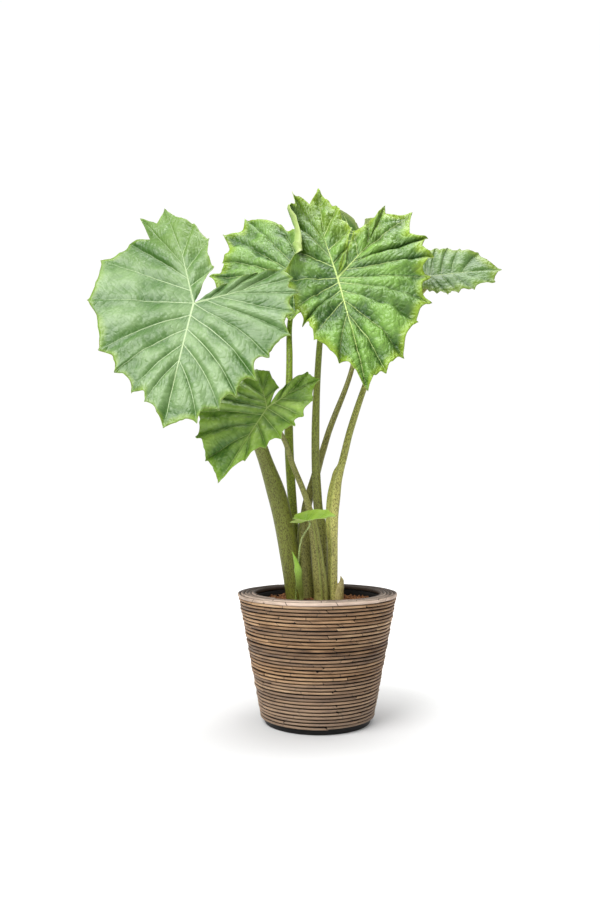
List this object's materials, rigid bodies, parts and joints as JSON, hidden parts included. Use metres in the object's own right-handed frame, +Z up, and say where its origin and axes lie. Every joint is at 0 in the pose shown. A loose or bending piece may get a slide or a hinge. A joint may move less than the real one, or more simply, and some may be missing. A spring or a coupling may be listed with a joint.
{
  "type": "potted alocasia",
  "caption": "Tall broad-leaved foliage plant standing in soil, in a round tapered planter of wound rattan canes over a plastic liner.",
  "frame": {"origin": "centre of the pot's flat underside, on the surface it stands on", "axes": "+Z up along the pot's axis, -Y the front that the two largest leaves face, +X to the right seen from the front"},
  "size_m": [0.979, 0.6639, 1.3456],
  "materials": {
    "rattan": "split rattan cane, lightly varnished, tan with grey-brown bands and dark gaps",
    "liner_plastic": "black moulded plastic with a slight sheen",
    "soil": "dark moist potting soil with bark fibres",
    "rootstock": "rough fibrous brown",
    "leaf": "soft satin green, pale veins, yellow-green margins",
    "stalk": "olive green with fine brown stipple",
    "sheath": "thin dry tan sheath"
  },
  "bodies": {
    "root": {"pot_liner": "liner_plastic", "soil": "soil", "rootstock": "rootstock", "cane_wall_01": "rattan", "cane_wall_02": "rattan", "cane_wall_03": "rattan", "cane_wall_04": "rattan", "cane_wall_05": "rattan", "cane_wall_06": "rattan", "cane_wall_07": "rattan", "cane_wall_08": "rattan", "cane_wall_09": "rattan", "cane_wall_10": "rattan", "cane_wall_11": "rattan", "cane_wall_12": "rattan", "cane_wall_13": "rattan", "cane_wall_14": "rattan", "cane_wall_15": "rattan", "cane_wall_16": "rattan", "cane_wall_17": "rattan", "cane_wall_18": "rattan", "cane_wall_19": "rattan", "cane_wall_20": "rattan", "cane_wall_21": "rattan", "cane_wall_22": "rattan", "cane_wall_23": "rattan", "cane_wall_24": "rattan", "cane_wall_25": "rattan", "cane_wall_26": "rattan", "cane_wall_27": "rattan", "cane_wall_28": "rattan", "cane_wall_29": "rattan", "cane_wall_30": "rattan", "cane_wall_31": "rattan", "cane_wall_32": "rattan", "cane_wall_33": "rattan", "cane_wall_34": "rattan", "cane_wall_35": "rattan", "cane_rim_1": "rattan", "cane_rim_2": "rattan", "cane_rim_3": "rattan", "cane_rim_4": "rattan", "cane_rim_5": "rattan", "leaf_front_left": "leaf", "leaf_front_right": "leaf", "leaf_low_left": "leaf", "leaf_back_left": "leaf", "leaf_far_right": "leaf", "leaf_back_right": "leaf", "leaf_small": "leaf", "young_leaf": "leaf", "stalk_front_left": "stalk", "stalk_back_left": "stalk", "stalk_front_right": "stalk", "stalk_back_right": "stalk", "stalk_far_right": "stalk", "stalk_low_left": "stalk", "stalk_small": "stalk", "sheath_right": "sheath"}
  },
  "joints": []
}
